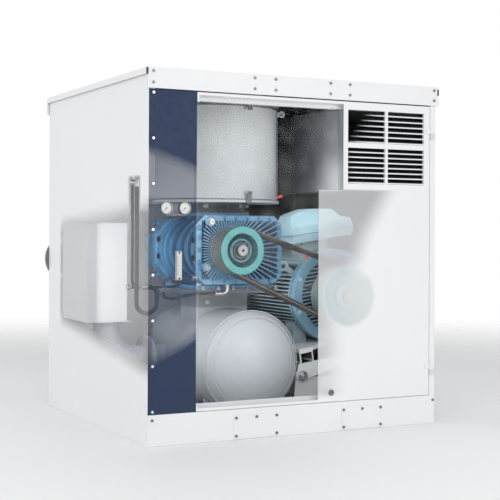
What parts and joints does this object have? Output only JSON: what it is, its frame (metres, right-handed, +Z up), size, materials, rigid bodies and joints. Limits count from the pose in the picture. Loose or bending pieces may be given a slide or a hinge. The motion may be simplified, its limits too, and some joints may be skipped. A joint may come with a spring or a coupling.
{
  "type": "roots blower",
  "caption": "Rotary lobe blower package in a sound enclosure: belt-driven blower, motor on a hinged base, inlet filter silencer, discharge tank and outlet line.",
  "frame": {"origin": "centre of the footprint, on the floor", "axes": "+X right along the front, +Y from the front to the rear, +Z up"},
  "size_m": [1.3765, 1.268, 1.466],
  "materials": {
    "white_paint": "satin powder coat",
    "navy_paint": "satin powder coat",
    "clear_pane": "clear",
    "galvanised": "galvanised sheet",
    "grey_paint": "satin paint",
    "canister_grey": "satin paint",
    "blower_blue": "gloss enamel",
    "cover_blue": "gloss enamel",
    "motor_blue": "gloss enamel",
    "motor_grey": "enamel",
    "pulley_teal": "enamel",
    "machined_steel": "turned",
    "lamination": "varnished stack",
    "bright_steel": "plated",
    "black_rubber": "matt",
    "foam": "open cell foam",
    "filter_media": "pleated",
    "dial": "printed dial in a steel case",
    "black_plastic": "moulded",
    "frame_grey": "satin paint"
  },
  "bodies": {
    "root": {"base_frame": "white_paint", "floor_pan": "galvanised", "lifting_covers": "white_paint", "upper_frame": "frame_grey", "side_panel_left": "white_paint", "side_panel_right": "white_paint", "rear_panel": "white_paint", "acoustic_lining": "foam", "roof_panel": "white_paint", "roof_fascia": "white_paint", "instrument_panel": "navy_paint", "gauge_cases": "dial", "oil_level_gauge": "bright_steel", "door_hinges": "bright_steel", "cooling_duct": "canister_grey", "blower_casing": "blower_blue", "blower_end_plates": "blower_blue", "rotor_bearings": "machined_steel", "drive_cover": "cover_blue", "gear_cover": "cover_blue", "drive_belts": "black_rubber", "hinge_brackets": "frame_grey", "discharge_tank": "grey_paint", "silencer_core": "galvanised", "tank_saddles": "grey_paint", "outlet_pipe": "grey_paint", "outlet_box": "grey_paint", "rear_connections": "grey_paint", "intake_canister": "canister_grey", "canister_lid": "canister_grey", "filter_cartridge": "filter_media", "inlet_manifold": "grey_paint", "hoses": "black_rubber", "fittings": "bright_steel", "fasteners": "bright_steel"},
    "drive_rotor": {"drive_rotor": "machined_steel", "drive_gear": "machined_steel", "blower_pulley": "pulley_teal", "blower_bush": "machined_steel"},
    "idler_rotor": {"idler_rotor": "machined_steel", "idler_gear": "machined_steel"},
    "motor_base": {"swing_base": "frame_grey", "motor_housing": "motor_grey", "motor_shields": "motor_blue", "fan_cowl": "motor_grey", "terminal_box": "motor_blue", "stator_core": "lamination", "tension_spring": "bright_steel"},
    "jack": {"tension_jack": "bright_steel"},
    "motor_rotor": {"motor_rotor": "machined_steel", "motor_fan": "black_plastic", "motor_pulley": "pulley_teal"},
    "door": {"door_panel": "white_paint", "door_window": "clear_pane", "louvre_slats": "white_paint"},
    "latch": {"door_latch": "bright_steel"},
    "needle_left": {"gauge_needle_left": "black_plastic"},
    "needle_right": {"gauge_needle_right": "black_plastic"},
    "lid_clip": {"lid_clip": "bright_steel"},
    "base_clip": {"base_clip": "bright_steel"}
  },
  "joints": [
    {"name": "motor_spin", "type": "hinge", "parent": "motor_base", "child": "motor_rotor", "pos_m": [0.39, 0, 0.546], "axis": [0, 1, 0], "continuous": true},
    {"name": "drive_spin", "type": "hinge", "parent": "root", "child": "drive_rotor", "pos_m": [-0.14, 0, 0.752], "axis": [0, 1, 0], "continuous": true},
    {"name": "idler_spin", "type": "hinge", "parent": "root", "child": "idler_rotor", "pos_m": [-0.02, 0, 0.752], "axis": [0, 1, 0], "continuous": true},
    {"name": "motor_base_swing", "type": "hinge", "parent": "root", "child": "motor_base", "pos_m": [0.19, 0, 0.197], "axis": [0, -1, 0], "range_deg": [0, 3], "deforming": ["drive_belts", "tension_spring"]},
    {"name": "jack_lean", "type": "hinge", "parent": "root", "child": "jack", "pos_m": [0.61512, -0.333, 0.156], "axis": [0, -1, 0], "range_deg": [0, 1.79]},
    {"name": "door_hinge", "type": "hinge", "parent": "root", "child": "door", "pos_m": [0.65, -0.625, 0.7], "axis": [0, 0, 1], "range_deg": [0, 110]},
    {"name": "latch_turn", "type": "hinge", "parent": "door", "child": "latch", "pos_m": [0.149, -0.62, 0.1625], "axis": [0, 1, 0], "range_deg": [0, 90]},
    {"name": "needle_left_turn", "type": "hinge", "parent": "root", "child": "needle_left", "pos_m": [-0.601, -0.623, 0.923], "axis": [0, 1, 0], "range_deg": [0, 270]},
    {"name": "needle_right_turn", "type": "hinge", "parent": "root", "child": "needle_right", "pos_m": [-0.523, -0.623, 0.923], "axis": [0, 1, 0], "range_deg": [0, 270]},
    {"name": "lid_clip_turn", "type": "hinge", "parent": "root", "child": "lid_clip", "pos_m": [-0.062, -0.277, 1.366], "axis": [1, 0, 0], "range_deg": [0, 100]},
    {"name": "base_clip_turn", "type": "hinge", "parent": "root", "child": "base_clip", "pos_m": [-0.062, -0.277, 1.002], "axis": [-1, 0, 0], "range_deg": [0, 100]}
  ],
  "couplings": [
    {"joint": "drive_spin", "follows": "motor_spin", "ratio": 1.3333},
    {"joint": "idler_spin", "follows": "motor_spin", "ratio": -1.3333},
    {"joint": "jack_lean", "follows": "motor_base_swing", "ratio": 0.5801}
  ]
}
